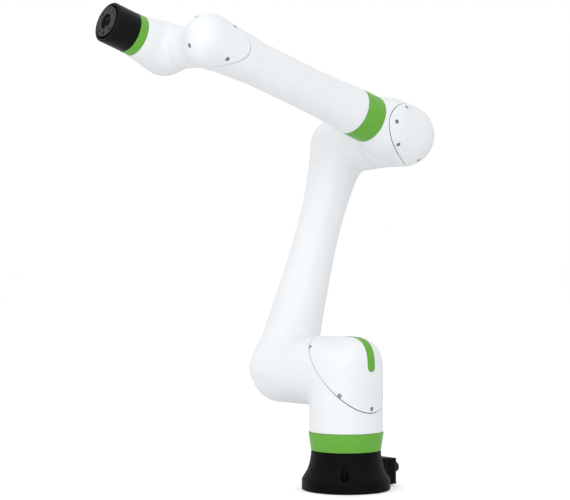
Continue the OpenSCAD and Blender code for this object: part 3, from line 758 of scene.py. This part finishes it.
V, T = surface(f_elbow, (-76, -80, -76), (122, 76, 78), FINE)
n_el = (-0.375, 0.927, 0)
el_pockets = [((57, 40, 43), n_el), ((57, 40, -43), n_el), ((84.7, 52, -1.7), n_el),
              ((-20, 20, 49), n_el), ((-20, 20, -49), n_el), ((-55, 5, 0), n_el)]
cover_pair("elbow_housing_skin", "elbow_cover_skin", "elbow", FORE, f_elbow, V, T, seam_el, [plane((107.6, 0, 0), -X), plane((0, -69.2, 0), Y)],
           el_pockets, ["elbow_housing"], ["elbow_cover"], "elbow_cover_screw_set", ["elbow_cover_screws"])
ring = Mesh()
lathe(ring, np.zeros(3), X, fillet([(46.1, 108.1, 0.4), (51.4, 108.1, 0.7), (50.7, 157.3, 0.6), (46.1, 157.3, 0.4)]))
ring.build("forearm_ring_turned", "elbow", FORE, GREEN, ["j4_trim_ring"])


# ---------------------------------------------------------------- forearm
E5 = np.array([540.0, 0, 0])


def f_fore(P):
    x, y = P[:, 0] - 540, P[:, 1]
    low = step(1 + y / 60)
    u = x - 13.1 * low
    v = y + 5.2 * step(1 + x / 120)
    w = P[:, 2] - 1.9 * step(1 - np.maximum(-x, -2 * y) / 120) + 3.4 * np.clip(1 + x / 382, 0, 1) * low
    return bend(u, v, w, 2.78, flare(51.9, 44.2, 119.4, 14, 50.5, 382, 4.75), flare(51.9, 41.4, 63.4), 14.0)


def seam_fo(P):
    v = P - E5
    t = (v[:, 0] - v[:, 1]) * R2
    return (v[:, 0] + v[:, 1]) * R2 - (-6.3 + np.clip(8.7 - 0.15 * t, 6, 16) * np.minimum(np.abs(v[:, 2]) / 53, 1.15) ** 2.4)


V, T = surface(f_fore, (148, -74, -64), (611, 64, 64), FINE)
fo_pockets = []
for t, z in ((40.5, 30.5), (40.5, -30.5), (-33.5, 35), (-33.5, -35)):
    fo_pockets.append((E5 + np.array([R2, -R2, 0]) * t + Z * z, (1, 1, 0)))
cover_pair("forearm_skin", "forearm_cover_skin", "forearm", FORE, f_fore, V, T, seam_fo, [plane((158.1, 0, 0), X), plane((0, -63.4, 0), Y)],
           fo_pockets, ["forearm"], ["forearm_cover"], "forearm_cover_screw_set", ["forearm_cover_screws"])


# ---------------------------------------------------------------- wrist
def f_wrist(P):
    x, y = P[:, 0], P[:, 1]
    u = 7.8 * step(1 - y / 80) - x
    v = -10.7 * step(1 - x / 80) - y
    w = P[:, 2] - 5.0 * step(1 - np.maximum(x, y) / 80)
    return bend(u, v, w, 2.4, flare(53.55, 41.3, 86), flare(53.55, 41.4, 57.7), 12.0)


def seam_wr(P):
    return -(P[:, 0] + P[:, 1]) * R2 - (-8.0 + 20.0 * np.minimum(np.abs(P[:, 2]) / 50, 1.15) ** 2.5)


V, T = surface(f_wrist, (-60, -69, -60), (98, 98, 66), FINE)
wr_pockets = []
for t, z in ((41, 25), (41, -25), (-41, 25), (-41, -25)):
    wr_pockets.append((np.array([R2, -R2, 0]) * t + Z * z, (-1, -1, 0)))
cover_pair("wrist_housing_skin", "wrist_cover_skin", "wrist", WRIST, f_wrist, V, T, seam_wr, [plane((86.0, 0, 0), -X), plane((0, 85.8, 0), -Y)],
           wr_pockets, ["wrist_housing"], ["wrist_cover"], "wrist_cover_screw_set", ["wrist_cover_screws"])
ring = Mesh()
lathe(ring, np.zeros(3), X, fillet([(34.9, 86.5, 0.4), (41.6, 86.5, 0.6), (41.4, 103.9, 0.6), (34.9, 103.9, 0.4)]))
ring.build("tool_ring_turned", "wrist", WRIST, GREEN, ["j6_trim_ring"])
sl = Mesh()
lathe(sl, np.zeros(3), X, fillet([(34.95, 104.3, 0.4), (40.9, 104.3, 0.7), (40.7, 157, 2.6), (34.95, 157, 0.8)], 8))
sl.build("tool_sleeve_turned", "wrist", WRIST, BLACK_PL, ["tool_sleeve"])


# ---------------------------------------------------------------- base
PROFILE = [(22, 93.5), (28.6, 90), (35, 86), (41, 82.5), (48, 80), (54, 78), (60, 76.6), (66, 75.6), (73, 74.4), (82, 74)]


def f_base(P):
    q, s = np.hypot(P[:, 0], P[:, 1]), P[:, 2]
    r = np.interp(s, [p[0] for p in PROFILE], [p[1] for p in PROFILE])
    body = (q - r) * 0.9
    neck = box3(P, (-62, 0, 31), (29, 36, 31), 7)
    body = smin(body, smax(neck, -P[:, 2] + 1, 2), 7.0)
    body = smax(smax(body, P[:, 2] - 81.7, 2.6), -P[:, 2], 2.6)
    for k in range(4):
        a = math.radians(45 + 90 * k)
        c, w = 82.5 * math.cos(a), 82.5 * math.sin(a)
        d = np.hypot(P[:, 0] - c, P[:, 1] - w)
        body = smax(body, -smax(d - 7.6, 24 - P[:, 2], 2.5), 2.6)
        body = smax(body, 4.5 - d, 1.2)
    hollow = smax(q - 62, P[:, 2] - 24, 2.0)
    body = smax(body, -hollow, 2.0)
    body = smax(body, -smax(smax(q - 66, P[:, 2] - 66.5, 2.0), 20 - P[:, 2], 2.0), 2.0)
    body = smax(body, -smax(q - 46.4, 70 - P[:, 2], 2.0), 1.6)
    body = smax(body, 17 - q + np.where(P[:, 2] > 50, 0, 40), 1.6)
    return body


V, T = surface(f_base, (-97, -97, -4), (97, 97, 86), 1.9)
bm = Mesh()
nv = grad(f_base, V)
nv /= np.maximum(np.linalg.norm(nv, axis=1, keepdims=True), 1e-9)
bm.add(V, T, corner_normals(T, nv))
bm.build("base_casting_body", "base", WORLD, BLACK, ["base_casting"])


def f_box(P):
    return smax(box3(P, (-103, 0, 31), (14.5, 32, 29), 6.5), -P[:, 0] - 116, 2.0)


V, T = surface(f_box, (-122, -38, -4), (-84, 38, 66), 1.7)
bx = Mesh()
Shell(f_box, V, T).cut(plane((-116 + 0.6, 0, 0), X), 0.8).cut(plane((-90.2, 0, 0), -X), 0.4).make(bx, 3.6)
bx.build("connector_box_shell", "base", WORLD, BLACK, ["connector_box"])

for n in ("connector_plate", "power_connector", "signal_connector", "air_fittings", "tool_flange"):
    ob = frame["nodes"][n]
    w = ob.modifiers.new("weld", "WELD")
    w.merge_threshold = 0.00002
    bv = ob.modifiers.new("edges", "BEVEL")
    bv.width, bv.segments, bv.limit_method, bv.angle_limit = 0.00045, 2, "ANGLE", math.radians(40)
    bv.harden_normals = True

# ---------------------------------------------------------------- floor, light, camera
me = bpy.data.meshes.new("floor")
seg = 96
ring_r = [0.0] + [0.5 * 1.35 ** k for k in range(17)]
vs, fs = [(0, 0, 0)], []
for r in ring_r[1:]:
    vs += [(r * math.cos(2 * math.pi * k / seg), r * math.sin(2 * math.pi * k / seg), 0) for k in range(seg)]
for k in range(seg):
    fs.append((0, 1 + k, 1 + (k + 1) % seg))
for j in range(len(ring_r) - 2):
    for k in range(seg):
        a, b = 1 + j * seg + k, 1 + j * seg + (k + 1) % seg
        fs.append((a, a + seg, b + seg, b))
me.from_pydata(vs, [], fs)
floor = bpy.data.objects.new("floor", me)
floor.location = (0, 0, -0.0006)
SCENE.collection.objects.link(floor)
m, nt, b = nodes_of("floor_pale")
co = add(nt, "ShaderNodeTexCoord")
n1 = noise(nt, co, 3.0, 3.0)
nt.links.new(ramp(nt, n1.outputs["Fac"], 0.3, 0.7, (0.94, 0.94, 0.94), (0.96, 0.96, 0.96)), b.inputs["Base Color"])
b.inputs["Roughness"].default_value = 0.9
b.inputs["Specular IOR Level"].default_value = 0.1
b.inputs["Emission Color"].default_value = (1.0, 1.0, 1.0, 1)
b.inputs["Emission Strength"].default_value = 0.22
low = add(nt, "ShaderNodeBsdfDiffuse")
low.inputs["Color"].default_value = (0.84, 0.84, 0.84, 1)
path, both = add(nt, "ShaderNodeLightPath"), add(nt, "ShaderNodeMixShader")
nt.links.new(path.outputs["Is Camera Ray"], both.inputs["Fac"])
nt.links.new(low.outputs[0], both.inputs[1])
nt.links.new(b.outputs[0], both.inputs[2])
nt.links.new(both.outputs[0], [n for n in nt.nodes if n.bl_idname == "ShaderNodeOutputMaterial"][0].inputs["Surface"])
me.materials.append(m)

world = bpy.data.worlds.new("studio")
SCENE.world = world
world.use_nodes = True
wt = world.node_tree
bg = wt.nodes["Background"]
bg.inputs["Color"].default_value = (0.985, 0.995, 1.0, 1)
bg.inputs["Strength"].default_value = 0.88
seen = wt.nodes.new("ShaderNodeBackground")
seen.inputs["Color"].default_value = (1.0, 1.0, 1.0, 1)
seen.inputs["Strength"].default_value = 1.0
lp, mx = wt.nodes.new("ShaderNodeLightPath"), wt.nodes.new("ShaderNodeMixShader")
wt.links.new(lp.outputs["Is Camera Ray"], mx.inputs["Fac"])
wt.links.new(bg.outputs[0], mx.inputs[1])
wt.links.new(seen.outputs[0], mx.inputs[2])
wt.links.new(mx.outputs[0], wt.nodes["World Output"].inputs["Surface"])


def area(name, loc, target, size, power, color=(1, 1, 1)):
    d = bpy.data.lights.new(name, "AREA")
    d.shape, d.size, d.size_y, d.energy, d.color = "RECTANGLE", size[0], size[1], power, color
    o = bpy.data.objects.new(name, d)
    SCENE.collection.objects.link(o)
    o.location = loc
    import mathutils
    o.rotation_mode = "QUATERNION"
    o.rotation_quaternion = (mathutils.Vector(target) - mathutils.Vector(loc)).to_track_quat("-Z", "Y")
    return o


area("key", (2.9, -0.6, 1.9), (0, 0, 0.5), (1.8, 1.8), 8)
area("front", (2.55, 2.2, 1.5), (0, 0, 0.55), (3.0, 2.2), 35)
sd = bpy.data.lights.new("sky", "SUN")
sd.energy, sd.angle = 0.2, math.radians(120)
sky = bpy.data.objects.new("sky", sd)
SCENE.collection.objects.link(sky)
sky.location = (0, 0, 3)

AZ, CAM_D, CAM_Z, FPX = math.radians(46.7), 2.9403, 0.4123, 1390.2
cam = bpy.data.cameras.new("camera")
cam.sensor_width, cam.lens = 36.0, FPX / 570 * 36
cam.shift_x, cam.shift_y = 0.0, (293.6 - 250) / 570
cam.clip_start, cam.clip_end = 0.05, 200
cam_ob = bpy.data.objects.new("camera", cam)
SCENE.collection.objects.link(cam_ob)
cam_ob.location = (CAM_D * math.cos(AZ), CAM_D * math.sin(AZ), CAM_Z)
psi = math.atan(61 / FPX)
heading = AZ + math.pi + psi                   # direction the camera looks, about +Z
cam_ob.rotation_euler = (math.pi / 2, 0, heading - math.pi / 2)
SCENE.camera = cam_ob

bpy.context.view_layer.update()
